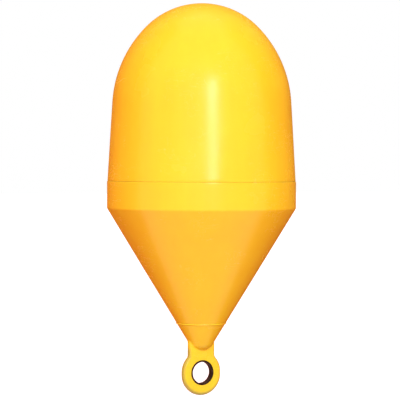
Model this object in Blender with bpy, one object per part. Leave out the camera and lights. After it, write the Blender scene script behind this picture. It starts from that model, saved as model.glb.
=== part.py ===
"""Navigation buoy: a domed upper shell, a band with a cone below it, and a mooring eye with a steel bush.

Metres, +Z up.  The origin is on the buoy's axis at the knuckle between band and cone, which is the
waterline of the moored buoy.  The eye's plate lies in the XZ plane and its bore runs along Y.
"""

import math

import bmesh
import bpy
from mathutils import Matrix

# Shells
BAND_RADIUS = 0.200
BAND_HEIGHT = 0.0572
KNUCKLE_ROUNDING = 0.009
RIM_WALL = 0.006
RIM_CHAMFER = 0.001
RIM_STEP = 0.001
LAP_DEPTH = 0.014
WALL_HEIGHT = 0.1668
WALL_DRAFT = math.radians(3.4)
SHOULDER_RADIUS = 0.247
SHOULDER_END = math.radians(44.7)

# Cone and tip
CONE_ANGLE = math.radians(31.27)
TIP_JOINT_RADIUS = 0.0532
TIP_SPIGOT_RADIUS = 0.040
TIP_SPIGOT_DEPTH = 0.020
NOSE_RADIUS = 0.030

# Mooring eye
PLATE_THICKNESS = 0.0145
PLATE_ROUNDING = 0.005
PLATE_ROUNDING_STEPS = 4
NECK_WIDTH = 0.0605
BORE_BELOW_NOSE = 0.047
EYE_WALL = 0.0182
EYE_DROP = 0.0038
EYE_RISE = 0.0013
EYE_FILLET = 0.009
NECK_FILLET = 0.028
NECK_SINK = 0.001

# Steel bush
BUSH_RADIUS = 0.0263
BUSH_WALL = 0.0037
BUSH_STAND_OUT = 0.0005
BUSH_CHAMFER = 0.0008

# Foam filler plug, at the back of the upper shell
PLUG_RADIUS = 0.016
PLUG_DEPTH = 0.008
PLUG_HEIGHT = 0.120
PLUG_RECESS = 0.0004
PLUG_SLOT_LENGTH = 0.020
PLUG_SLOT_WIDTH = 0.003
PLUG_SLOT_DEPTH = 0.002

# Gap left between faces that touch
SEAT_GAP = 0.0003
# How far a cutter runs past the face it cuts
CUT_PAST = 0.010

# Facets
TURN_STEPS = 72
BORE_STEPS = 48
SHOULDER_STEPS = 7
CROWN_STEPS = 9
NOSE_STEPS = 5
SMALL_ARC_STEPS = 4
EYE_STEPS = 16
SHARP_ANGLE = math.radians(28)
MERGE_DISTANCE = 1e-7

# Heights worked out from the dimensions above
LAP_RADIUS = BAND_RADIUS - RIM_WALL
CONE_APEX = -BAND_RADIUS / math.tan(CONE_ANGLE)
TIP_JOINT = CONE_APEX + TIP_JOINT_RADIUS / math.tan(CONE_ANGLE)
NOSE_CENTRE = CONE_APEX + NOSE_RADIUS / math.sin(CONE_ANGLE)
BORE_CENTRE = NOSE_CENTRE - NOSE_RADIUS - BORE_BELOW_NOSE
EYE_LOW_CENTRE = BORE_CENTRE - EYE_DROP
EYE_HIGH_CENTRE = BORE_CENTRE + EYE_RISE
EYE_RADIUS = BUSH_RADIUS + EYE_WALL


def arc(centre, radius, start, end, steps):
    """Points on an arc in the profile plane, both ends included; angles run from +X towards +Z."""
    angles = [start + (end - start) * step / steps for step in range(steps + 1)]
    return [(centre[0] + radius * math.cos(a), centre[1] + radius * math.sin(a)) for a in angles]


def wall_radius(height):
    """Outer radius of the drafted wall of the upper shell."""
    return BAND_RADIUS - RIM_STEP - (height - BAND_HEIGHT) * math.tan(WALL_DRAFT)


def finish_material(name, colour, roughness, metallic):
    material = bpy.data.materials.new(name)
    material.use_nodes = True
    shader = material.node_tree.nodes["Principled BSDF"]
    shader.inputs["Base Color"].default_value = (*colour, 1.0)
    shader.inputs["Roughness"].default_value = roughness
    shader.inputs["Metallic"].default_value = metallic
    return material


def add_object(name, mesh, material):
    mesh.materials.append(material)
    mesh.shade_smooth()
    mesh.set_sharp_from_angle(angle=SHARP_ANGLE)
    thing = bpy.data.objects.new(name, mesh)
    bpy.context.scene.collection.objects.link(thing)
    return thing


def mesh_from(name, shape):
    bmesh.ops.remove_doubles(shape, verts=shape.verts, dist=MERGE_DISTANCE)
    bmesh.ops.recalc_face_normals(shape, faces=shape.faces)
    mesh = bpy.data.meshes.new(name)
    shape.to_mesh(mesh)
    shape.free()
    return mesh


def turned(name, profile, steps):
    """Closed solid spun about Z from a profile of (radius, height) points that starts and ends on the axis,
    or comes back to its first point."""
    shape = bmesh.new()
    points = [shape.verts.new((radius, 0.0, height)) for radius, height in profile]
    edges = [shape.edges.new(pair) for pair in zip(points, points[1:])]
    if profile[0][0] > 0.0:
        edges.append(shape.edges.new((points[-1], points[0])))
    bmesh.ops.spin(
        shape,
        geom=points + edges,
        cent=(0, 0, 0),
        axis=(0, 0, 1),
        angle=math.tau,
        steps=steps,
        use_merge=True,
    )
    return mesh_from(name, shape)


def cutter(name, mesh, material):
    """Solid used only by a Boolean."""
    thing = add_object(name, mesh, material)
    thing.hide_render = True
    thing.display_type = "WIRE"
    return thing


def combine(thing, other, operation):
    boolean = thing.modifiers.new(other.name, "BOOLEAN")
    boolean.operation = operation
    boolean.solver = "EXACT"
    boolean.object = other


def build_upper_shell(plastic):
    """Dome and drafted wall, with a spigot below that sits inside the lower shell's rim."""
    wall_top = BAND_HEIGHT + WALL_HEIGHT
    shoulder = (
        wall_radius(wall_top) - SHOULDER_RADIUS * math.cos(WALL_DRAFT),
        wall_top - SHOULDER_RADIUS * math.sin(WALL_DRAFT),
    )
    shoulder_arc = arc(shoulder, SHOULDER_RADIUS, WALL_DRAFT, SHOULDER_END, SHOULDER_STEPS)
    crown_start = shoulder_arc[-1]
    crown_radius = crown_start[0] / math.cos(SHOULDER_END)
    crown = (0.0, crown_start[1] - crown_radius * math.sin(SHOULDER_END))
    crown_arc = arc(crown, crown_radius, SHOULDER_END, math.pi / 2, CROWN_STEPS)
    crown_arc[-1] = (0.0, crown_arc[-1][1])
    spigot_radius = LAP_RADIUS - SEAT_GAP
    foot = BAND_HEIGHT + SEAT_GAP
    spigot_foot = BAND_HEIGHT - LAP_DEPTH + SEAT_GAP
    profile = [(0.0, spigot_foot), (spigot_radius, spigot_foot), (spigot_radius, foot)]
    profile += [(wall_radius(foot), foot)]
    profile += shoulder_arc + crown_arc[1:]
    return add_object("upper_shell", turned("upper_shell", profile, TURN_STEPS), plastic)


def build_lower_shell(plastic):
    """Band and cone, with a socket for the upper shell and one for the tip of the mooring eye."""
    socket_floor = BAND_HEIGHT - LAP_DEPTH
    tip_socket_roof = TIP_JOINT + TIP_SPIGOT_DEPTH
    knuckle = (BAND_RADIUS - KNUCKLE_ROUNDING, KNUCKLE_ROUNDING * math.tan(CONE_ANGLE / 2))
    profile = [(0.0, socket_floor), (LAP_RADIUS, socket_floor), (LAP_RADIUS, BAND_HEIGHT)]
    profile += [(BAND_RADIUS - RIM_CHAMFER, BAND_HEIGHT), (BAND_RADIUS, BAND_HEIGHT - RIM_CHAMFER)]
    profile += arc(knuckle, KNUCKLE_ROUNDING, 0.0, -CONE_ANGLE, SMALL_ARC_STEPS)
    profile += [(TIP_JOINT_RADIUS, TIP_JOINT), (TIP_SPIGOT_RADIUS, TIP_JOINT)]
    profile += [(TIP_SPIGOT_RADIUS, tip_socket_roof), (0.0, tip_socket_roof)]
    return add_object("lower_shell", turned("lower_shell", profile, TURN_STEPS), plastic)


def build_tip(plastic):
    """Rounded tip of the cone, with the spigot that sits in the lower shell."""
    joint = TIP_JOINT - SEAT_GAP
    joint_radius = TIP_JOINT_RADIUS - SEAT_GAP * math.tan(CONE_ANGLE)
    spigot_radius = TIP_SPIGOT_RADIUS - SEAT_GAP
    spigot_top = TIP_JOINT + TIP_SPIGOT_DEPTH - SEAT_GAP
    profile = [(0.0, spigot_top), (spigot_radius, spigot_top), (spigot_radius, joint)]
    profile += [(joint_radius, joint)]
    profile += arc((0.0, NOSE_CENTRE), NOSE_RADIUS, -CONE_ANGLE, -math.pi / 2, NOSE_STEPS)
    profile[-1] = (0.0, profile[-1][1])
    return add_object("mooring_eye", turned("mooring_eye", profile, TURN_STEPS), plastic)


def eye_outline():
    """One side of the plate's outline, in X and Z, from the middle of its foot up into the cone.

    The eye is a little taller than wide: a lower and an upper arc, joined by a short straight flank.
    """
    half_neck = NECK_WIDTH / 2
    low_fillet_x = half_neck + EYE_FILLET
    low_fillet_rise = math.sqrt((EYE_RADIUS + EYE_FILLET) ** 2 - low_fillet_x**2)
    meeting_angle = math.atan2(low_fillet_rise, low_fillet_x)
    low_fillet = (low_fillet_x, EYE_HIGH_CENTRE + low_fillet_rise)
    high_fillet_x = half_neck + NECK_FILLET
    reach = high_fillet_x * math.cos(CONE_ANGLE) - NECK_FILLET + NECK_SINK
    high_fillet = (high_fillet_x, CONE_APEX + reach / math.sin(CONE_ANGLE))
    outline = arc((0.0, EYE_LOW_CENTRE), EYE_RADIUS, -math.pi / 2, 0.0, EYE_STEPS)
    outline += arc((0.0, EYE_HIGH_CENTRE), EYE_RADIUS, 0.0, meeting_angle, EYE_STEPS // 2)
    outline += arc(low_fillet, EYE_FILLET, meeting_angle - math.pi, -math.pi, SMALL_ARC_STEPS)[1:]
    outline += arc(high_fillet, NECK_FILLET, math.pi, math.pi - CONE_ANGLE, SMALL_ARC_STEPS)
    return outline


def build_plate(plastic):
    """Flat plate of the eye with rounded edges, reaching up inside the tip."""
    side = eye_outline()
    outline = side + [(-x, z) for x, z in reversed(side[1:])]
    shape = bmesh.new()
    half = PLATE_THICKNESS / 2
    front = shape.faces.new([shape.verts.new((x, -half, z)) for x, z in outline])
    swept = bmesh.ops.extrude_face_region(shape, geom=[front], use_keep_orig=True)
    moved = [item for item in swept["geom"] if isinstance(item, bmesh.types.BMVert)]
    bmesh.ops.translate(shape, vec=(0, PLATE_THICKNESS, 0), verts=moved)
    bmesh.ops.recalc_face_normals(shape, faces=shape.faces)
    rims = [edge for edge in shape.edges if abs(edge.verts[0].co.y - edge.verts[1].co.y) < half]
    bmesh.ops.bevel(
        shape,
        geom=rims,
        offset=PLATE_ROUNDING,
        segments=PLATE_ROUNDING_STEPS,
        profile=0.5,
        affect="EDGES",
        material=-1,
    )
    return cutter("eye_plate", mesh_from("eye_plate", shape), plastic)


def along_y(mesh, height):
    """Turns a shape made about Z so that it lies along Y at the given height."""
    mesh.transform(Matrix.Translation((0, 0, height)) @ Matrix.Rotation(math.pi / 2, 4, "X"))
    return mesh


def build_mooring_eye(plastic):
    """Tip of the cone and eye plate in one piece, bored for the bush."""
    eye = build_tip(plastic)
    bore_radius = BUSH_RADIUS + SEAT_GAP
    reach = PLATE_THICKNESS / 2 + CUT_PAST
    bore_profile = [(0.0, -reach), (bore_radius, -reach), (bore_radius, reach), (0.0, reach)]
    bore = along_y(turned("eye_bore", bore_profile, BORE_STEPS), BORE_CENTRE)
    combine(eye, build_plate(plastic), "UNION")
    combine(eye, cutter("eye_bore", bore, plastic), "DIFFERENCE")
    return eye


def build_bush(steel):
    """Steel tube that lines the eye, standing a little out of the plate at both ends."""
    end = PLATE_THICKNESS / 2 + BUSH_STAND_OUT
    inner = BUSH_RADIUS - BUSH_WALL
    outer = BUSH_RADIUS
    low = [(inner, -end + BUSH_CHAMFER), (inner + BUSH_CHAMFER, -end)]
    low += [(outer - BUSH_CHAMFER, -end), (outer, -end + BUSH_CHAMFER)]
    profile = low + [(radius, -height) for radius, height in reversed(low)]
    return add_object("eye_bush", along_y(turned("eye_bush", profile, BORE_STEPS), BORE_CENTRE), steel)


def build_filler_plug(upper_shell, plastic):
    """Round plug that closes the foam filling hole in the back of the upper shell, and the hole for it."""
    rim = math.sqrt(wall_radius(PLUG_HEIGHT) ** 2 - PLUG_RADIUS**2)
    face = rim - PLUG_RECESS
    floor = rim - PLUG_DEPTH
    hole_radius = PLUG_RADIUS + SEAT_GAP
    past = BAND_RADIUS + CUT_PAST
    hole = [(0.0, -past), (hole_radius, -past), (hole_radius, -floor), (0.0, -floor)]
    hole_mesh = along_y(turned("filler_hole", hole, BORE_STEPS), PLUG_HEIGHT)
    combine(upper_shell, cutter("filler_hole", hole_mesh, plastic), "DIFFERENCE")
    seat = floor + SEAT_GAP
    plug = [(0.0, -face), (PLUG_RADIUS, -face), (PLUG_RADIUS, -seat), (0.0, -seat)]
    plug_mesh = along_y(turned("filler_plug", plug, BORE_STEPS), PLUG_HEIGHT)
    thing = add_object("filler_plug", plug_mesh, plastic)
    slot = bmesh.new()
    bmesh.ops.create_cube(slot, size=1.0)
    bmesh.ops.scale(slot, vec=(PLUG_SLOT_LENGTH, 2 * PLUG_SLOT_DEPTH, PLUG_SLOT_WIDTH), verts=slot.verts)
    bmesh.ops.translate(slot, vec=(0, face, PLUG_HEIGHT), verts=slot.verts)
    combine(thing, cutter("plug_slot", mesh_from("plug_slot", slot), plastic), "DIFFERENCE")
    return thing


def clear_scene():
    for thing in list(bpy.data.objects):
        bpy.data.objects.remove(thing, do_unlink=True)


def main():
    clear_scene()
    plastic = finish_material("yellow_polyethylene", (0.95, 0.62, 0.02), 0.35, 0.0)
    steel = finish_material("dark_steel", (0.06, 0.045, 0.035), 0.45, 1.0)
    upper_shell = build_upper_shell(plastic)
    build_lower_shell(plastic)
    build_mooring_eye(plastic)
    build_bush(steel)
    build_filler_plug(upper_shell, plastic)


main()
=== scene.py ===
"""Finish and studio of the navigation buoy: moulded shells, mooring eye, steel bush and filler plug.

Metres, +Z up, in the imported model's frame: the origin is on the buoy's axis at the knuckle between
band and cone, the plate of the mooring eye lies in the XZ plane and its bore runs along Y.
"""

import math

import bmesh
import bpy
from mathutils import Matrix, Vector, noise


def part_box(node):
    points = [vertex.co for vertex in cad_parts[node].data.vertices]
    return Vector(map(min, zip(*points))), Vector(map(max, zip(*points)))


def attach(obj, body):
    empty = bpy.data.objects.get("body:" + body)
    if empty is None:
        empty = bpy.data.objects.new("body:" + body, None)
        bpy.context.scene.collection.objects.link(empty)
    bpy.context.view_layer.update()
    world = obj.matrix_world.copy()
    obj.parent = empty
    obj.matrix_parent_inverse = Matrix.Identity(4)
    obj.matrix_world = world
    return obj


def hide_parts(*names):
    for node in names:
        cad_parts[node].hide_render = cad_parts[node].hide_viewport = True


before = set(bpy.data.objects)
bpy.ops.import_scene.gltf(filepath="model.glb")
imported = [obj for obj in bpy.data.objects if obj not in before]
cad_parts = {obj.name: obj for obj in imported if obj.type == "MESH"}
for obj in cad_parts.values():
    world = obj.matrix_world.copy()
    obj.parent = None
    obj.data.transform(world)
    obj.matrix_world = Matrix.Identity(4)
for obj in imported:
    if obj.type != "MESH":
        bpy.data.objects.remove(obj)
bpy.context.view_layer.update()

# Places and sizes that the frame gives
UPPER_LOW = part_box("upper_shell")[0]
LOWER_LOW, LOWER_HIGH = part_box("lower_shell")
EYE_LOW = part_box("mooring_eye")[0]
BUSH_LOW, BUSH_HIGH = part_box("eye_bush")
PLUG_LOW, PLUG_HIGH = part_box("filler_plug")
BAND_RADIUS = LOWER_HIGH.x
BAND_HEIGHT = LOWER_HIGH.z
TIP_JOINT = LOWER_LOW.z
SPIGOT_FOOT = UPPER_LOW.z
BORE_CENTRE = (BUSH_LOW.z + BUSH_HIGH.z) / 2
BUSH_RADIUS = (BUSH_HIGH.z - BUSH_LOW.z) / 2
BUSH_HALF_LENGTH = BUSH_HIGH.y
PLUG_CENTRE = (PLUG_LOW.z + PLUG_HIGH.z) / 2
PLUG_RADIUS = (PLUG_HIGH.z - PLUG_LOW.z) / 2

# Shells
SEAT_GAP = 0.0003
RIM_WALL = 0.006
RIM_STEP = 0.001
RIM_ROUNDING = 0.0015
FOOT_ROUNDING = 0.0006
WALL_HEIGHT = 0.1668
WALL_DRAFT = math.radians(3.4)
SHOULDER_RADIUS = 0.247
SHOULDER_END = math.radians(44.7)
KNUCKLE_ROUNDING = 0.009
CONE_ANGLE = math.radians(31.27)
TIP_SPIGOT_RADIUS = 0.040
TIP_SPIGOT_DEPTH = 0.020
TIP_LIP = 0.0007
TIP_LIP_HEIGHT = 0.0020
TURN_STEPS = 224
SHOULDER_STEPS = 30
CROWN_STEPS = 36
FOOT_STEPS = 5
RIM_STEPS = 7
KNUCKLE_STEPS = 12
WALL_STEP = 0.006
MOULD_WAVE = 0.00035
MOULD_WAVE_LENGTH = 0.11
SMOOTH_ANGLE = math.radians(38)
MERGE_DISTANCE = 1e-7

# Mooring eye
NOSE_RADIUS = 0.030
PLATE_ROUNDING = 0.0056
NECK_WIDTH = 0.0605
EYE_DROP = 0.0038
EYE_RISE = 0.0013
EYE_FILLET = 0.009
NECK_FILLET = 0.028
NECK_SINK = 0.001
EYE_VOXEL = 0.0009
EYE_SMOOTHINGS = 3
EYE_SMOOTHING = 0.5
TIP_STEPS = 144
NOSE_STEPS = 24
EYE_LOW_STEPS = 40
EYE_HIGH_STEPS = 20
EYE_FILLET_STEPS = 10
NECK_FILLET_STEPS = 12
PLATE_ROUNDING_STEPS = 6
BORE_STEPS = 128
LEVEL_TOLERANCE = 1e-6

# Bush
BUSH_WALL = 0.0037
BUSH_LIP = 0.0008
BUSH_STAND_OUT = 0.0005
BUSH_STEPS = 160
BUSH_LIP_STEPS = 6
BUSH_SMOOTH_ANGLE = math.radians(60)

# Filler plug
PLUG_EASING = 0.0008
PLUG_DEPTH = 0.008
PLUG_SLOT_LENGTH = 0.020
PLUG_SLOT_WIDTH = 0.003
PLUG_SLOT_DEPTH = 0.002
PLUG_STEPS = 96
PLUG_EASING_STEPS = 5
HOLE_CUTTER_REACH = 1.1 * BAND_RADIUS

# Worked out from the sizes above
CONE_APEX = -BAND_RADIUS / math.tan(CONE_ANGLE)
NOSE_CENTRE = CONE_APEX + NOSE_RADIUS / math.sin(CONE_ANGLE)
PLATE_THICKNESS = 2 * (BUSH_HALF_LENGTH - BUSH_STAND_OUT)
EYE_RADIUS = BORE_CENTRE - EYE_DROP - EYE_LOW.z
EYE_LOW_CENTRE = BORE_CENTRE - EYE_DROP
EYE_HIGH_CENTRE = BORE_CENTRE + EYE_RISE

WHITE = (1.0, 1.0, 1.0, 1.0)
BLACK = (0.0, 0.0, 0.0, 1.0)

# Plastic: lighter and deeper tone, roughness, and what the shader takes as it is
SHELL_COLOUR = (0.91, 0.65, 0.027, 1.0)
SHELL_DEEP = (0.89, 0.61, 0.024, 1.0)
SHELL_ROUGHNESS = 0.24
EYE_COLOUR = (0.92, 0.67, 0.028, 1.0)
EYE_DEEP = (0.90, 0.63, 0.025, 1.0)
EYE_ROUGHNESS = 0.28
PLASTIC_SETTINGS = {
    "IOR": 1.5,
    "Specular IOR Level": 0.35,
    "Subsurface Weight": 0.12,
    "Subsurface Radius": (1.0, 0.45, 0.10),
    "Subsurface Scale": 0.012,
}

# Pattern of the plastic: noise scales per metre, shares of the tone, depths and strengths of relief
NOISE_LOW = 0.3
NOISE_HIGH = 0.7
CLOUD_SCALE = 9.0
CLOUD_SHARE = 0.6
STREAK_SCALE = (55.0, 55.0, 3.0)
STREAK_SHARE = 0.3
GRAIN_SCALE = 700.0
GRAIN_SHARE = 0.1
TONE_LOW = 0.38
TONE_HIGH = 0.62
GLOSSIER = 0.04
DULLER = 0.05
PEEL_SCALE = 260.0
PEEL_DEPTH = 0.00022
PEEL_STRENGTH = 0.6
FINE_PEEL_SCALE = 1400.0
FINE_PEEL_DEPTH = 0.00004
FINE_PEEL_STRENGTH = 0.7

# Scuffs, each kind with its turn, its stretch per metre and the width of its lines, then olive painted shade
# with some grime in the seam, and olive painted shade on the eye plate's rim
LONG_SCUFFS = ((0.4, 0.2, 0.3), (18.0, 18.0, 90.0), 0.006)
SHORT_SCUFFS = ((-0.5, 0.7, 1.1), (70.0, 12.0, 30.0), 0.005)
SCUFF_COLOUR = (0.95, 0.80, 0.30, 1.0)
SCUFF_SHARE = 0.16
SCUFF_DULLING = 0.25
SCUFF_DEPTH = 0.00012
SCUFF_STRENGTH = 0.5
SCUFF_GAP_SCALE = 14.0
SCUFF_GAP_LOW = 0.52
SCUFF_GAP_HIGH = 0.62
OLIVE_SHADE_AND_GRIME = (0.42, 0.38, 0.080, 1.0)
SHADE_AND_GRIME_THINNEST = 0.7
SEAM_SHADE_AND_DIRT_SHARE = 0.25
SEAM_SHADE_AND_DIRT_HEIGHT = 0.0014
# Width of the olive painted shade along the eye plate's rounded rim
RIM_SHADE_WIDTH = 0.0055

# Steel
STEEL_DARK = (0.016, 0.008, 0.004, 1.0)
STEEL_BROWN = (0.060, 0.036, 0.022, 1.0)
STEEL_RUBBED = (0.10, 0.068, 0.078, 1.0)
STEEL_METALLIC = 0.85
STEEL_SMOOTHEST = 0.30
STEEL_ROUGHEST = 0.55
STEEL_RELIEF_STRENGTH = 0.6
PATCH_SCALE = 120.0
PATCH_DETAIL = 5.0
PATCH_ROUGHNESS = 0.6
PATCH_DEPTH = 0.00025
PITTING_SCALE = 900.0
PITTING_SHARE = 0.3
PITTING_DEPTH = 0.00006
WEAR_LOW = 0.62
WEAR_HIGH = 0.82
RUB_LOW = 0.35
RUB_HIGH = 0.65
RUB_LEAST = 0.25
RUB_MOST = 0.9

# Camera and floor
CAMERA_AZIMUTH = math.radians(-27)
CAMERA_ELEVATION = math.radians(1.3)
CAMERA_DISTANCE = 4.0
CAMERA_LENS = 170.07
CAMERA_SENSOR = 36.0
CAMERA_CLIP_END = 100.0
CAMERA_SIDE = -0.0032
CAMERA_ROLL = math.radians(0.2)
AIM_HEIGHT = 0.0171
FLOOR_GAP = 0.001
FLOOR_SIZE = 40.0
FLOOR_DARK = (0.44, 0.21, 0.29, 1.0)
FLOOR_LIGHT = (0.48, 0.24, 0.32, 1.0)
FLOOR_ROUGHNESS = 0.9
FLOOR_SHADE_SCALE = 3.0

# Warm card that the edges reflect
CARD_NEAR = 0.06
CARD_FAR = 2.5
CARD_RISE = 0.2
CARD_TOP = 6.0
CARD_HALF_TURN = math.radians(100)
CARD_DARK = (0.30, 0.09, 0.01, 1.0)
CARD_LIGHT = (0.36, 0.11, 0.015, 1.0)
CARD_SHADE_SCALE = 2.0
CARD_STEPS = 48

# Room light: colour all round, then soft glows, each with its side of the camera's azimuth, its
# elevation, how narrow it is and its colour
ROOM_COLOUR = (0.74, 0.14, 0.13)
ROOM_GLOWS = [
    (-1, 18, 7.0, (2.0, 3.85, 2.5)),
    (-95, 5, 4.0, (1.20, 0.32, 0.20)),
    (180, 32, 6.0, (2.6, 3.0, 2.7)),
    (0, 90, 4.0, (0.5, 0.5, 0.4)),
]

# Strip lamp of the tall highlight: side of the camera's azimuth, level being the light that it gives
# a white surface that faces it
STRIP_SIDE = math.radians(13.4)
STRIP_ELEVATION = math.radians(17)
STRIP_DISTANCE = 3.0
STRIP_WIDTH = 0.55
STRIP_HEIGHT = 1.40
STRIP_LEVEL = 0.34
STRIP_AIM = 0.1


# ---------------------------------------------------------------- shapes


def arc(centre, radius, start, end, steps):
    """Points on an arc in the profile plane, both ends included; angles run from +X towards +Z."""
    angles = [start + (end - start) * step / steps for step in range(steps + 1)]
    return [(centre[0] + radius * math.cos(a), centre[1] + radius * math.sin(a)) for a in angles]


def run(first, last, step):
    """Points from first to last, both included, no further apart than step."""
    first, last = Vector(first), Vector(last)
    count = max(1, math.ceil((last - first).length / step))
    return [tuple(first.lerp(last, index / count)) for index in range(count + 1)]


def wall_radius(height):
    """Outer radius of the drafted wall of the upper shell."""
    return BAND_RADIUS - RIM_STEP - (height - BAND_HEIGHT) * math.tan(WALL_DRAFT)


def cone_radius(height):
    """Outer radius of the cone."""
    return (height - CONE_APEX) * math.tan(CONE_ANGLE)


def mesh_from(name, shape):
    """Mesh of a bmesh, with its doubles merged and its faces outward."""
    bmesh.ops.remove_doubles(shape, verts=shape.verts, dist=MERGE_DISTANCE)
    bmesh.ops.recalc_face_normals(shape, faces=shape.faces)
    mesh = bpy.data.meshes.new(name)
    shape.to_mesh(mesh)
    shape.free()
    return mesh


def turned(name, profile, steps):
    """Closed solid spun about Z from a profile of (radius, height) points."""
    shape = bmesh.new()
    points = [shape.verts.new((radius, 0.0, height)) for radius, height in profile]
    edges = [shape.edges.new(pair) for pair in zip(points, points[1:])]
    if profile[0][0] > 0.0:
        edges.append(shape.edges.new((points[-1], points[0])))
    bmesh.ops.spin(
        shape, geom=points + edges, cent=(0, 0, 0), axis=(0, 0, 1), angle=math.tau, steps=steps,
        use_merge=True,
    )
    return mesh_from(name, shape)


def along_y(mesh, height):
    """Turns a shape made about Z so that it lies along Y at the given height."""
    mesh.transform(Matrix.Translation((0, 0, height)) @ Matrix.Rotation(math.pi / 2, 4, "X"))
    return mesh


def add_piece(name, mesh, material, sharp=SMOOTH_ANGLE):
    """Object of a mesh, smooth where its faces meet below the sharp angle."""
    mesh.materials.clear()
    mesh.materials.append(material)
    mesh.shade_smooth()
    mesh.set_sharp_from_angle(angle=sharp)
    piece = bpy.data.objects.new(name, mesh)
    bpy.context.scene.collection.objects.link(piece)
    return piece


def combined(name, mesh, other, operation):
    """Mesh that a Boolean of two meshes leaves."""
    first = bpy.data.objects.new(name, mesh)
    second = bpy.data.objects.new(name + "_tool", other)
    for thing in (first, second):
        bpy.context.scene.collection.objects.link(thing)
    boolean = first.modifiers.new("Boolean", "BOOLEAN")
    boolean.operation = operation
    boolean.solver = "EXACT"
    boolean.object = second
    graph = bpy.context.evaluated_depsgraph_get()
    result = bpy.data.meshes.new_from_object(first.evaluated_get(graph))
    result.name = name
    for thing in (first, second):
        bpy.data.objects.remove(thing)
    return result


def remeshed(mesh, voxel):
    """Even mesh of a solid, whose sharp inner corners come out slightly filled."""
    thing = bpy.data.objects.new("remesh", mesh)
    bpy.context.scene.collection.objects.link(thing)
    remesh = thing.modifiers.new("Remesh", "REMESH")
    remesh.mode = "VOXEL"
    remesh.voxel_size = voxel
    graph = bpy.context.evaluated_depsgraph_get()
    result = bpy.data.meshes.new_from_object(thing.evaluated_get(graph))
    bpy.data.objects.remove(thing)
    return result


def mould_wave(mesh):
    """Gives a shell the slightly uneven surface of a moulding."""
    for vertex in mesh.vertices:
        outward = Vector((vertex.co.x, vertex.co.y, 0.0))
        if outward.length < RIM_WALL:
            continue
        swell = noise.noise(vertex.co / MOULD_WAVE_LENGTH) * MOULD_WAVE
        vertex.co += outward.normalized() * swell


# ---------------------------------------------------------------- pieces


def upper_profile():
    """Foot, drafted wall, shoulder and crown of the upper shell, with its spigot."""
    wall_top = BAND_HEIGHT + WALL_HEIGHT
    shoulder = (
        wall_radius(wall_top) - SHOULDER_RADIUS * math.cos(WALL_DRAFT),
        wall_top - SHOULDER_RADIUS * math.sin(WALL_DRAFT),
    )
    shoulder_arc = arc(shoulder, SHOULDER_RADIUS, WALL_DRAFT, SHOULDER_END, SHOULDER_STEPS)
    crown_start = shoulder_arc[-1]
    crown_radius = crown_start[0] / math.cos(SHOULDER_END)
    crown = (0.0, crown_start[1] - crown_radius * math.sin(SHOULDER_END))
    crown_arc = arc(crown, crown_radius, SHOULDER_END, math.pi / 2, CROWN_STEPS)
    crown_arc[-1] = (0.0, crown_arc[-1][1])
    spigot_radius = BAND_RADIUS - RIM_WALL - SEAT_GAP
    foot = BAND_HEIGHT + SEAT_GAP
    foot_centre = (wall_radius(foot) - FOOT_ROUNDING, foot + FOOT_ROUNDING)
    foot_arc = arc(foot_centre, FOOT_ROUNDING, -math.pi / 2, WALL_DRAFT, FOOT_STEPS)
    profile = [(0.0, SPIGOT_FOOT), (spigot_radius, SPIGOT_FOOT), (spigot_radius, foot)]
    profile += foot_arc
    profile += run(foot_arc[-1], shoulder_arc[0], WALL_STEP)[1:-1]
    return profile + shoulder_arc + crown_arc[1:]


def filler_hole():
    """Cutter for the hole that the filler plug sits in, with an eased mouth."""
    rim = math.sqrt(wall_radius(PLUG_CENTRE) ** 2 - PLUG_RADIUS**2)
    radius = PLUG_RADIUS + SEAT_GAP
    mouth_radius = radius + HOLE_CUTTER_REACH - rim + PLUG_EASING
    profile = [(0.0, -HOLE_CUTTER_REACH), (mouth_radius, -HOLE_CUTTER_REACH)]
    profile += [(radius, -rim + PLUG_EASING), (radius, PLUG_DEPTH - rim), (0.0, PLUG_DEPTH - rim)]
    return along_y(turned("filler_hole", profile, PLUG_STEPS), PLUG_CENTRE)


def build_upper_shell(plastic):
    mesh = turned("upper_shell_moulding", upper_profile(), TURN_STEPS)
    mould_wave(mesh)
    mesh = combined("upper_shell_moulding", mesh, filler_hole(), "DIFFERENCE")
    return add_piece("upper_shell_moulding", mesh, plastic)


def build_lower_shell(plastic):
    """Band and cone, with a rounded rim, an eased knuckle and a socket for the tip's spigot."""
    lap_radius = BAND_RADIUS - RIM_WALL
    socket_floor = SPIGOT_FOOT - SEAT_GAP
    joint_edge = (cone_radius(TIP_JOINT), TIP_JOINT)
    roof = TIP_JOINT + TIP_SPIGOT_DEPTH
    rim = (BAND_RADIUS - RIM_ROUNDING, BAND_HEIGHT - RIM_ROUNDING)
    rim_arc = arc(rim, RIM_ROUNDING, math.pi / 2, 0.0, RIM_STEPS)
    knuckle = (BAND_RADIUS - KNUCKLE_ROUNDING, KNUCKLE_ROUNDING * math.tan(CONE_ANGLE / 2))
    knuckle_arc = arc(knuckle, KNUCKLE_ROUNDING, 0.0, -CONE_ANGLE, KNUCKLE_STEPS)
    profile = [(0.0, socket_floor), (lap_radius, socket_floor), (lap_radius, BAND_HEIGHT)]
    profile += rim_arc + run(rim_arc[-1], knuckle_arc[0], WALL_STEP)[1:-1]
    profile += knuckle_arc + run(knuckle_arc[-1], joint_edge, WALL_STEP)[1:]
    profile += [(TIP_SPIGOT_RADIUS, TIP_JOINT), (TIP_SPIGOT_RADIUS, roof), (0.0, roof)]
    mesh = turned("lower_shell_moulding", profile, TURN_STEPS)
    mould_wave(mesh)
    return add_piece("lower_shell_moulding", mesh, plastic)


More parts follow.
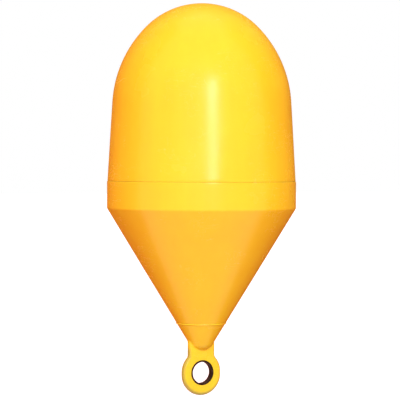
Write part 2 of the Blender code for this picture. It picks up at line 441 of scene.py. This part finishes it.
def eye_outline():
    """One side of the plate's outline, in X and Z, from the middle of its foot up into the cone."""
    half_neck = NECK_WIDTH / 2
    low_fillet_x = half_neck + EYE_FILLET
    low_fillet_rise = math.sqrt((EYE_RADIUS + EYE_FILLET) ** 2 - low_fillet_x**2)
    meeting_angle = math.atan2(low_fillet_rise, low_fillet_x)
    low_fillet = (low_fillet_x, EYE_HIGH_CENTRE + low_fillet_rise)
    high_fillet_x = half_neck + NECK_FILLET
    reach = high_fillet_x * math.cos(CONE_ANGLE) - NECK_FILLET + NECK_SINK
    high_fillet = (high_fillet_x, CONE_APEX + reach / math.sin(CONE_ANGLE))
    outline = arc((0.0, EYE_LOW_CENTRE), EYE_RADIUS, -math.pi / 2, 0.0, EYE_LOW_STEPS)
    outline += arc((0.0, EYE_HIGH_CENTRE), EYE_RADIUS, 0.0, meeting_angle, EYE_HIGH_STEPS)
    fillet_start = meeting_angle - math.pi
    outline += arc(low_fillet, EYE_FILLET, fillet_start, -math.pi, EYE_FILLET_STEPS)[1:]
    outline += arc(high_fillet, NECK_FILLET, math.pi, math.pi - CONE_ANGLE, NECK_FILLET_STEPS)
    return outline


def eye_plate():
    """Flat plate of the eye with rounded edges, reaching up inside the tip."""
    side = eye_outline()
    outline = side + [(-x, z) for x, z in reversed(side[1:])]
    shape = bmesh.new()
    half = PLATE_THICKNESS / 2
    front = shape.faces.new([shape.verts.new((x, -half, z)) for x, z in outline])
    swept = bmesh.ops.extrude_face_region(shape, geom=[front], use_keep_orig=True)
    moved = [item for item in swept["geom"] if isinstance(item, bmesh.types.BMVert)]
    bmesh.ops.translate(shape, vec=(0, PLATE_THICKNESS, 0), verts=moved)
    bmesh.ops.recalc_face_normals(shape, faces=shape.faces)
    rims = [edge for edge in shape.edges if abs(edge.verts[0].co.y - edge.verts[1].co.y) < half]
    bmesh.ops.bevel(
        shape, geom=rims, offset=PLATE_ROUNDING, segments=PLATE_ROUNDING_STEPS, profile=0.5,
        affect="EDGES", material=-1,
    )
    return mesh_from("eye_plate", shape)


def rounded_tip(joint):
    """Tip of the cone, up to the joint, with its rounded nose."""
    profile = [(0.0, joint), (cone_radius(joint), joint)]
    profile += arc((0.0, NOSE_CENTRE), NOSE_RADIUS, -CONE_ANGLE, -math.pi / 2, NOSE_STEPS)
    profile[-1] = (0.0, profile[-1][1])
    return turned("tip", profile, TIP_STEPS)


def trimmed_loop(shape, height):
    """Cuts the tip off level at a height, and gives the round loop of edges that is left open."""
    cut = bmesh.ops.bisect_plane(
        shape, geom=shape.verts[:] + shape.edges[:] + shape.faces[:], dist=LEVEL_TOLERANCE,
        plane_co=(0, 0, height), plane_no=(0, 0, 1), clear_outer=True,
    )
    loop = [item for item in cut["geom_cut"] if isinstance(item, bmesh.types.BMEdge)]
    for vertex in {vertex for edge in loop for vertex in edge.verts}:
        reach = Vector((vertex.co.x, vertex.co.y)).length
        vertex.co.x *= cone_radius(height) / reach
        vertex.co.y *= cone_radius(height) / reach
    return loop


def raised_ring(shape, loop, radius, height):
    """Extrudes a round loop of edges to another radius and height, and gives the new loop."""
    swept = bmesh.ops.extrude_edge_only(shape, edges=loop)["geom"]
    for vertex in [item for item in swept if isinstance(item, bmesh.types.BMVert)]:
        angle = math.atan2(vertex.co.y, vertex.co.x)
        vertex.co = (radius * math.cos(angle), radius * math.sin(angle), height)
    level_edges = []
    for edge in [item for item in swept if isinstance(item, bmesh.types.BMEdge)]:
        level = all(abs(vertex.co.z - height) < LEVEL_TOLERANCE for vertex in edge.verts)
        if level and edge.is_boundary:
            level_edges.append(edge)
    return level_edges


def eye_bore():
    """Cutter for the bore that the bush sits in."""
    radius = BUSH_RADIUS + SEAT_GAP
    reach = PLATE_THICKNESS
    profile = [(0.0, -reach), (radius, -reach), (radius, reach), (0.0, reach)]
    return along_y(turned("bore", profile, BORE_STEPS), BORE_CENTRE)


def build_mooring_eye(plastic):
    """Tip of the cone and eye plate moulded in one, with a raised lip, a spigot and the bore."""
    joint = TIP_JOINT - SEAT_GAP
    joint_radius = cone_radius(joint)
    spigot_radius = TIP_SPIGOT_RADIUS - SEAT_GAP
    spigot_top = TIP_JOINT + TIP_SPIGOT_DEPTH - SEAT_GAP
    shape = bmesh.new()
    shape.from_mesh(remeshed(combined("tip", rounded_tip(joint), eye_plate(), "UNION"), EYE_VOXEL))
    for _ in range(EYE_SMOOTHINGS):
        bmesh.ops.smooth_vert(
            shape, verts=shape.verts, factor=EYE_SMOOTHING, use_axis_x=True, use_axis_y=True, use_axis_z=True
        )
    loop = trimmed_loop(shape, joint - 2 * TIP_LIP_HEIGHT)
    rings = [(joint_radius + TIP_LIP, joint - TIP_LIP_HEIGHT), (joint_radius, joint)]
    rings += [(spigot_radius, joint), (spigot_radius, spigot_top)]
    for radius, height in rings:
        loop = raised_ring(shape, loop, radius, height)
    bmesh.ops.holes_fill(shape, edges=loop, sides=0)
    mesh = mesh_from("mooring_eye_moulding", shape)
    mesh = combined("mooring_eye_moulding", mesh, eye_bore(), "DIFFERENCE")
    return add_piece("mooring_eye_moulding", mesh, plastic)


def build_bush(steel):
    """Steel tube with worn, rounded lips."""
    inner = BUSH_RADIUS - BUSH_WALL + BUSH_LIP
    outer = BUSH_RADIUS - BUSH_LIP
    end = BUSH_HALF_LENGTH - BUSH_LIP
    quarter = math.pi / 2
    corners = [((inner, -end), -2), ((outer, -end), -1), ((outer, end), 0), ((inner, end), 1)]
    profile = []
    for centre, start in corners:
        profile += arc(centre, BUSH_LIP, start * quarter, (start + 1) * quarter, BUSH_LIP_STEPS)
    mesh = along_y(turned("steel_bush", profile, BUSH_STEPS), BORE_CENTRE)
    return add_piece("steel_bush", mesh, steel, BUSH_SMOOTH_ANGLE)


def build_filler_plug(plastic):
    """Slotted plug with an eased edge."""
    face = PLUG_HIGH.y
    seat = PLUG_LOW.y
    edge = (PLUG_RADIUS - PLUG_EASING, -face + PLUG_EASING)
    profile = [(0.0, -face)] + arc(edge, PLUG_EASING, -math.pi / 2, 0.0, PLUG_EASING_STEPS)
    profile += [(PLUG_RADIUS, -seat), (0.0, -seat)]
    mesh = along_y(turned("slotted_plug", profile, PLUG_STEPS), PLUG_CENTRE)
    slot = bmesh.new()
    bmesh.ops.create_cube(slot, size=1.0)
    slot_size = (PLUG_SLOT_LENGTH, 2 * PLUG_SLOT_DEPTH, PLUG_SLOT_WIDTH)
    bmesh.ops.scale(slot, vec=slot_size, verts=slot.verts)
    bmesh.ops.translate(slot, vec=(0, face, PLUG_CENTRE), verts=slot.verts)
    mesh = combined("slotted_plug", mesh, mesh_from("slot", slot), "DIFFERENCE")
    return add_piece("slotted_plug", mesh, plastic)


# ---------------------------------------------------------------- materials


def node(tree, kind, inputs=None, **settings):
    """Adds a shader node; an input that is a socket is linked, any other is set."""
    made = tree.nodes.new(kind)
    for key, value in settings.items():
        setattr(made, key, value)
    for key, value in (inputs or {}).items():
        if isinstance(value, bpy.types.NodeSocket):
            tree.links.new(value, made.inputs[key])
        else:
            made.inputs[key].default_value = value
    return made


def maths(tree, operation, first, second=0.0):
    """Socket with the result of an operation on values or sockets."""
    return node(tree, "ShaderNodeMath", {0: first, 1: second}, operation=operation).outputs[0]


def speckle(tree, place, scale, detail=3.0, roughness=0.5):
    """Noise from 0 to 1, scale per metre."""
    inputs = {"Vector": place, "Scale": scale, "Detail": detail, "Roughness": roughness}
    return node(tree, "ShaderNodeTexNoise", inputs).outputs["Fac"]


def stretched(tree, place, scale, turn=(0.0, 0.0, 0.0)):
    """Coordinates scaled and turned, for a pattern that runs one way."""
    inputs = {"Vector": place, "Scale": scale, "Rotation": turn}
    return node(tree, "ShaderNodeMapping", inputs).outputs["Vector"]


def ranged(tree, value, low, high, to_low, to_high):
    """Value mapped from one range to another, and held at its ends."""
    inputs = {"Value": value, "From Min": low, "From Max": high, "To Min": to_low, "To Max": to_high}
    return node(tree, "ShaderNodeMapRange", inputs).outputs["Result"]


def mixed(tree, factor, first, second, blend="MIX"):
    """Two colours mixed by a factor."""
    made = node(tree, "ShaderNodeMix", data_type="RGBA", blend_type=blend)
    for socket, value in ((made.inputs[0], factor), (made.inputs[6], first), (made.inputs[7], second)):
        if isinstance(value, bpy.types.NodeSocket):
            tree.links.new(value, socket)
        else:
            socket.default_value = value
    return made.outputs[2]


def new_material(name):
    """Material, with its node tree, its shader and the piece's own coordinates."""
    material = bpy.data.materials.new(name)
    material.use_nodes = True
    tree = material.node_tree
    shader = tree.nodes["Principled BSDF"]
    place = node(tree, "ShaderNodeTexCoord").outputs["Object"]
    return material, tree, shader, place


def bump(tree, height, distance, strength=1.0, under=None):
    """Relief of a surface, on top of another relief if there is one under it."""
    inputs = {"Height": height, "Distance": distance, "Strength": strength}
    if under is not None:
        inputs["Normal"] = under
    return node(tree, "ShaderNodeBump", inputs).outputs["Normal"]


def scratches(tree, place, turn, scale, width):
    """Fine, broken lines where a stretched noise crosses its middle value."""
    lines = speckle(tree, stretched(tree, place, scale, turn), 1.0, 2.0)
    distance = maths(tree, "ABSOLUTE", maths(tree, "SUBTRACT", lines, 0.5))
    line = ranged(tree, distance, 0.0, width, 1.0, 0.0)
    gaps = speckle(tree, place, SCUFF_GAP_SCALE, 2.0)
    return maths(tree, "MULTIPLY", line, ranged(tree, gaps, SCUFF_GAP_LOW, SCUFF_GAP_HIGH, 0.0, 1.0))


def seam_band(tree, place):
    """Mask of the painted shade and grime in the seam: 1 at the seam on top of the band, falling to 0 above
    and below it.
    """
    height = node(tree, "ShaderNodeSeparateXYZ", {0: place}).outputs["Z"]
    distance = maths(tree, "ABSOLUTE", maths(tree, "SUBTRACT", height, BAND_HEIGHT))
    return ranged(tree, distance, 0.0, SEAM_SHADE_AND_DIRT_HEIGHT, 1.0, 0.0)


def from_bore(tree, place):
    """Distance from the middle line of the bore."""
    bore = (0, 0, BORE_CENTRE)
    across = node(tree, "ShaderNodeVectorMath", {0: place, 1: bore}, operation="SUBTRACT").outputs[0]
    level = node(tree, "ShaderNodeVectorMath", {0: across, 1: (1, 0, 1)}, operation="MULTIPLY").outputs[0]
    return node(tree, "ShaderNodeVectorMath", {0: level}, operation="LENGTH").outputs["Value"]


def plate_rim_shade(tree, place):
    """Mask of painted shade: 1 along the rounded rim of the eye plate, 0 on its flats and on the tip above
    it.
    """
    axes = node(tree, "ShaderNodeSeparateXYZ", {0: place}).outputs
    ring = ranged(tree, from_bore(tree, place), EYE_RADIUS - RIM_SHADE_WIDTH, EYE_RADIUS, 0.0, 1.0)
    half_neck = NECK_WIDTH / 2
    aside = maths(tree, "ABSOLUTE", axes["X"])
    neck = ranged(tree, aside, half_neck - RIM_SHADE_WIDTH, half_neck, 0.0, 1.0)
    foot = ranged(tree, axes["Z"], BORE_CENTRE, BORE_CENTRE + RIM_SHADE_WIDTH, 1.0, 0.0)
    nose_low = NOSE_CENTRE - NOSE_RADIUS
    plate = ranged(tree, axes["Z"], nose_low, nose_low + 2 * RIM_SHADE_WIDTH, 1.0, 0.0)
    edge = maths(tree, "MULTIPLY", ring, maths(tree, "MAXIMUM", neck, foot))
    return maths(tree, "MULTIPLY", edge, plate)


def polyethylene(name, colour, deep, roughness, eye=False):
    """Moulded, pigmented polyethylene: flow streaks, mottling, fine orange peel and light scuffs.

    The shells have olive painted shade of the groove, with some grime, in the seam at the top of the band;
    the eye has olive painted shade on its plate's rim.
    """
    material, tree, shader, place = new_material(name)
    cloud = speckle(tree, place, CLOUD_SCALE, 4.0)
    streak = speckle(tree, stretched(tree, place, STREAK_SCALE), 1.0, 3.0)
    grain = speckle(tree, place, GRAIN_SCALE, 2.0)
    tone = maths(tree, "MULTIPLY", cloud, CLOUD_SHARE)
    tone = maths(tree, "ADD", tone, maths(tree, "MULTIPLY", streak, STREAK_SHARE))
    tone = maths(tree, "ADD", tone, maths(tree, "MULTIPLY", grain, GRAIN_SHARE))
    base = mixed(tree, ranged(tree, tone, TONE_LOW, TONE_HIGH, 0.0, 1.0), deep, colour)
    long_scuffs = scratches(tree, place, *LONG_SCUFFS)
    short_scuffs = scratches(tree, place, *SHORT_SCUFFS)
    scuff = maths(tree, "MAXIMUM", long_scuffs, short_scuffs)
    base = mixed(tree, maths(tree, "MULTIPLY", scuff, SCUFF_SHARE), base, SCUFF_COLOUR)
    if eye:
        # the eye's olive along its plate's rim is painted shade of the edges that turn away from the light
        shade_and_grime = plate_rim_shade(tree, place)
    else:
        # the shells' olive in the seam is painted shade of the groove, with some grime
        shade_and_grime = maths(tree, "MULTIPLY", seam_band(tree, place), SEAM_SHADE_AND_DIRT_SHARE)
    uneven = ranged(tree, cloud, NOISE_LOW, NOISE_HIGH, SHADE_AND_GRIME_THINNEST, 1.0)
    base = mixed(tree, maths(tree, "MULTIPLY", shade_and_grime, uneven), base, OLIVE_SHADE_AND_GRIME)
    tree.links.new(base, shader.inputs["Base Color"])
    gloss = ranged(tree, cloud, NOISE_LOW, NOISE_HIGH, roughness - GLOSSIER, roughness + DULLER)
    gloss = maths(tree, "ADD", gloss, maths(tree, "MULTIPLY", scuff, SCUFF_DULLING))
    tree.links.new(gloss, shader.inputs["Roughness"])
    peel = speckle(tree, place, PEEL_SCALE, 2.0)
    fine_peel = speckle(tree, place, FINE_PEEL_SCALE, 2.0)
    relief = bump(tree, peel, PEEL_DEPTH, PEEL_STRENGTH)
    relief = bump(tree, fine_peel, FINE_PEEL_DEPTH, FINE_PEEL_STRENGTH, relief)
    relief = bump(tree, scuff, SCUFF_DEPTH, SCUFF_STRENGTH, relief)
    tree.links.new(relief, shader.inputs["Normal"])
    for socket, value in PLASTIC_SETTINGS.items():
        shader.inputs[socket].default_value = value
    return material


def weathered_steel(name):
    """Dark, oxidised steel, rubbed brighter in the bore where the shackle pin hangs."""
    material, tree, shader, place = new_material(name)
    patch = speckle(tree, place, PATCH_SCALE, PATCH_DETAIL, PATCH_ROUGHNESS)
    pitting = speckle(tree, place, PITTING_SCALE, 3.0)
    wear = maths(tree, "ADD", patch, maths(tree, "MULTIPLY", pitting, PITTING_SHARE))
    base = mixed(tree, ranged(tree, wear, WEAR_LOW, WEAR_HIGH, 0.0, 1.0), STEEL_DARK, STEEL_BROWN)
    bore = BUSH_RADIUS - BUSH_WALL
    inside = ranged(tree, from_bore(tree, place), bore, bore + BUSH_LIP / 2, 1.0, 0.0)
    rub = ranged(tree, patch, RUB_LOW, RUB_HIGH, RUB_LEAST, RUB_MOST)
    base = mixed(tree, maths(tree, "MULTIPLY", inside, rub), base, STEEL_RUBBED)
    tree.links.new(base, shader.inputs["Base Color"])
    roughness = ranged(tree, patch, NOISE_LOW, NOISE_HIGH, STEEL_SMOOTHEST, STEEL_ROUGHEST)
    tree.links.new(roughness, shader.inputs["Roughness"])
    relief = bump(tree, pitting, PITTING_DEPTH, STEEL_RELIEF_STRENGTH)
    relief = bump(tree, patch, PATCH_DEPTH, STEEL_RELIEF_STRENGTH, relief)
    tree.links.new(relief, shader.inputs["Normal"])
    shader.inputs["Metallic"].default_value = STEEL_METALLIC
    return material


# ---------------------------------------------------------------- studio


def seen_directly(tree):
    """1 for rays from the camera, reflections and clear transmission, else 0."""
    path = node(tree, "ShaderNodeLightPath").outputs
    direct = maths(tree, "MAXIMUM", path["Is Camera Ray"], path["Is Glossy Ray"])
    return maths(tree, "MAXIMUM", direct, path["Is Transmission Ray"])


def room_glow(tree, toward, side, elevation, narrow, colour):
    """Colour of a broad soft light on the room's wall, centred round a side of the camera's azimuth."""
    centre = around(CAMERA_AZIMUTH + math.radians(side), math.radians(elevation), 1.0)
    facing = node(tree, "ShaderNodeVectorMath", {0: toward, 1: centre}, operation="DOT_PRODUCT")
    level = maths(tree, "POWER", maths(tree, "MAXIMUM", facing.outputs["Value"], 0.0), narrow)
    return mixed(tree, level, BLACK, (*colour, 1.0))


def build_world():
    """Room of soft light: white to look at, and lit from the front, the left, the back and above,
    warmer all round."""
    world = bpy.data.worlds.new("studio_room")
    bpy.context.scene.world = world
    world.use_nodes = True
    tree = world.node_tree
    toward = node(tree, "ShaderNodeTexCoord").outputs["Generated"]
    light = (*ROOM_COLOUR, 1.0)
    for glow in ROOM_GLOWS:
        light = mixed(tree, 1.0, light, room_glow(tree, toward, *glow), "ADD")
    colour = mixed(tree, seen_directly(tree), light, WHITE)
    tree.links.new(colour, tree.nodes["Background"].inputs["Color"])


def build_floor():
    """Studio floor just below the mooring eye: white to look at, and a warm bounce for the cone."""
    shape = bmesh.new()
    height = EYE_LOW.z - FLOOR_GAP
    bmesh.ops.create_grid(shape, x_segments=1, y_segments=1, size=FLOOR_SIZE / 2)
    bmesh.ops.translate(shape, vec=(0, 0, height), verts=shape.verts)
    material, tree, shader, place = new_material("studio_floor")
    shade = speckle(tree, place, FLOOR_SHADE_SCALE, 4.0)
    tree.links.new(mixed(tree, shade, FLOOR_DARK, FLOOR_LIGHT), shader.inputs["Base Color"])
    shader.inputs["Roughness"].default_value = FLOOR_ROUGHNESS
    lift = node(tree, "ShaderNodeEmission", {"Color": WHITE, "Strength": seen_directly(tree)})
    both = node(tree, "ShaderNodeAddShader", {0: shader.outputs[0], 1: lift.outputs[0]})
    output = next(item for item in tree.nodes if item.type == "OUTPUT_MATERIAL")
    tree.links.new(both.outputs[0], output.inputs["Surface"])
    mesh = mesh_from("studio_floor", shape)
    floor = add_piece("studio_floor", mesh, material)


def build_reflection_card():
    """Warm card behind the buoy that only reflections meet, as a studio hangs to keep its white walls
    out of a glossy product's edges."""
    shape = bmesh.new()
    foot = EYE_LOW.z + FLOOR_GAP
    corners = [(CARD_NEAR, 0.0, foot), (CARD_FAR, 0.0, foot + CARD_RISE), (CARD_FAR, 0.0, CARD_TOP)]
    points = [shape.verts.new(corner) for corner in corners]
    edges = [shape.edges.new(pair) for pair in zip(points, points[1:])]
    turn = Matrix.Rotation(CAMERA_AZIMUTH + math.pi / 2 - CARD_HALF_TURN, 3, "Z")
    bmesh.ops.rotate(shape, cent=(0, 0, 0), matrix=turn, verts=points)
    bmesh.ops.spin(
        shape, geom=points + edges, cent=(0, 0, 0), axis=(0, 0, 1), angle=2 * CARD_HALF_TURN,
        steps=CARD_STEPS,
    )
    material, tree, shader, place = new_material("warm_card")
    shade = speckle(tree, place, CARD_SHADE_SCALE)
    tree.links.new(mixed(tree, shade, CARD_DARK, CARD_LIGHT), shader.inputs["Emission Color"])
    shader.inputs["Base Color"].default_value = BLACK
    shader.inputs["Emission Strength"].default_value = 1.0
    card = add_piece("warm_card", mesh_from("warm_card", shape), material)
    card.visible_camera = False
    card.visible_diffuse = False
    card.visible_shadow = False
    card.visible_transmission = False


def around(azimuth, elevation, distance, height=0.0):
    """Point at an azimuth round the buoy, counted as the camera's is, and an elevation."""
    level = distance * math.cos(elevation)
    rise = height + distance * math.sin(elevation)
    return Vector((level * math.sin(azimuth), -level * math.cos(azimuth), rise))


def aimed(thing, place, target, roll=0.0):
    """Puts a lamp or camera at a place, looking at a target."""
    turn = (target - place).to_track_quat("-Z", "Y").to_matrix().to_4x4()
    thing.matrix_world = Matrix.Translation(place) @ turn @ Matrix.Rotation(roll, 4, "Z")


def build_strip_lamp():
    """Tall, narrow soft box."""
    lamp = bpy.data.lights.new("strip_box", "AREA")
    lamp.shape = "RECTANGLE"
    lamp.size = STRIP_WIDTH
    lamp.size_y = STRIP_HEIGHT
    lamp.energy = STRIP_LEVEL * math.pi * STRIP_DISTANCE**2 * math.pi
    thing = bpy.data.objects.new("strip_box", lamp)
    bpy.context.scene.collection.objects.link(thing)
    place = around(CAMERA_AZIMUTH + STRIP_SIDE, STRIP_ELEVATION, STRIP_DISTANCE, STRIP_AIM)
    aimed(thing, place, Vector((0.0, 0.0, STRIP_AIM)))


def build_camera():
    camera = bpy.data.cameras.new("camera")
    camera.lens = CAMERA_LENS
    camera.sensor_width = CAMERA_SENSOR
    camera.clip_end = CAMERA_CLIP_END
    thing = bpy.data.objects.new("camera", camera)
    bpy.context.scene.collection.objects.link(thing)
    right = Vector((math.cos(CAMERA_AZIMUTH), math.sin(CAMERA_AZIMUTH), 0.0))
    aim = Vector((0.0, 0.0, AIM_HEIGHT)) + right * CAMERA_SIDE
    place = aim + around(CAMERA_AZIMUTH, CAMERA_ELEVATION, CAMERA_DISTANCE)
    aimed(thing, place, aim, CAMERA_ROLL)
    bpy.context.scene.camera = thing


# ---------------------------------------------------------------- assembly


def main():
    build_camera()
    shell_yellow = polyethylene("shell_polyethylene", SHELL_COLOUR, SHELL_DEEP, SHELL_ROUGHNESS)
    eye_yellow = polyethylene("eye_polyethylene", EYE_COLOUR, EYE_DEEP, EYE_ROUGHNESS, eye=True)
    steel = weathered_steel("oxidised_steel")
    pieces = [
        (build_upper_shell(shell_yellow), "upper_shell", "shell_yellow"),
        (build_lower_shell(shell_yellow), "lower_shell", "shell_yellow"),
        (build_mooring_eye(eye_yellow), "mooring_eye", "eye_yellow"),
        (build_bush(steel), "eye_bush", "bush_steel"),
        (build_filler_plug(shell_yellow), "filler_plug", "shell_yellow"),
    ]
    for piece, cad_node, slot in pieces:
        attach(piece, "root")
        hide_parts(cad_node)
    build_floor()
    build_reflection_card()
    build_world()
    build_strip_lamp()
    bpy.context.scene.view_settings.view_transform = "Standard"


main()
